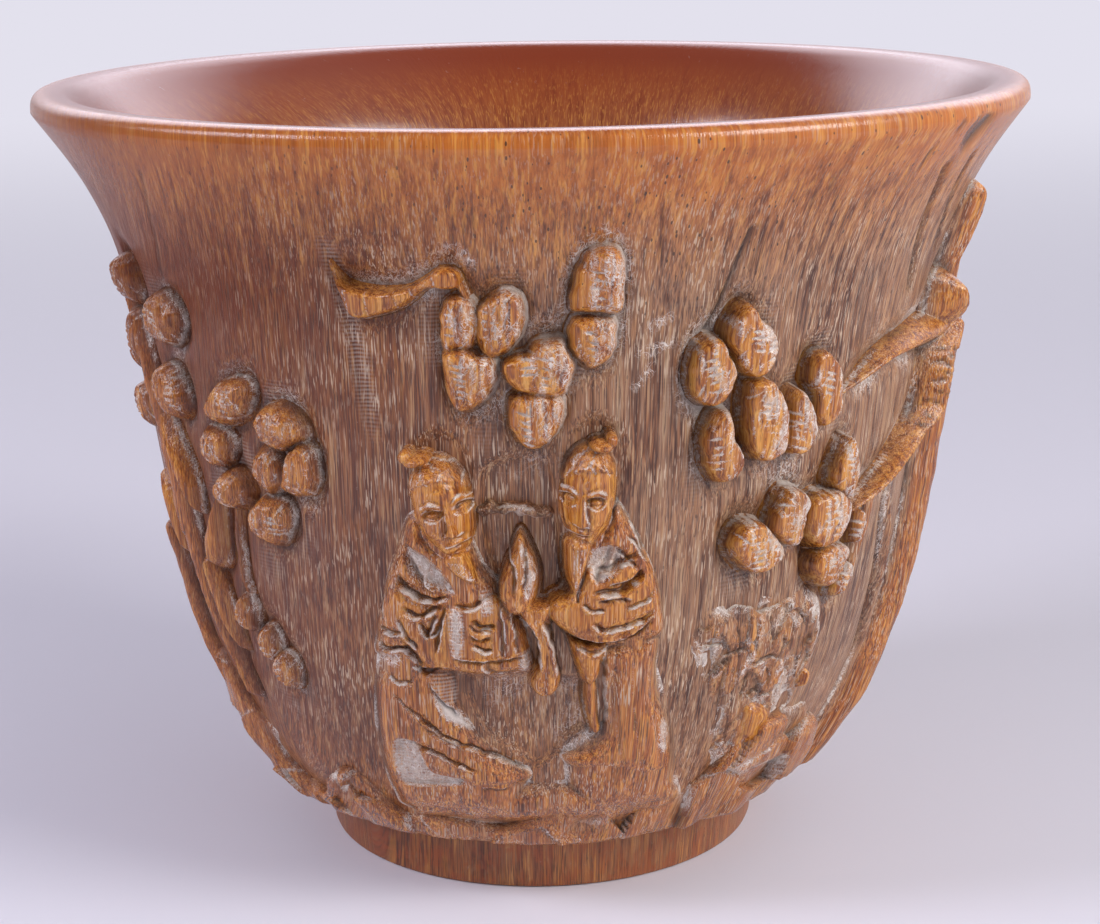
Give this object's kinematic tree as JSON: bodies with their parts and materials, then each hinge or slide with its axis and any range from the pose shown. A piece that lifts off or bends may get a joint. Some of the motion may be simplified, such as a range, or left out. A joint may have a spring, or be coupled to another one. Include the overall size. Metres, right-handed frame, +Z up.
{
  "type": "carved horn libation cup",
  "caption": "Flared carved horn cup with scholars and pine trees in relief, an inset floor plug and a turned foot ring",
  "frame": {"origin": "on the table, under the middle of the cup", "axes": "+Z up through the middle of the bowl, -Y towards the side of the cup that the two scholars are carved on"},
  "size_m": [0.12, 0.12, 0.095],
  "materials": {
    "carved_horn": "polished buffalo horn, amber on the high relief, satin brown in the ground",
    "plug_horn": "worn smooth horn",
    "foot_horn": "turned and lightly polished horn"
  },
  "bodies": {
    "root": {"bowl": "carved_horn", "floor_plug": "plug_horn", "foot_ring": "foot_horn"}
  },
  "joints": []
}
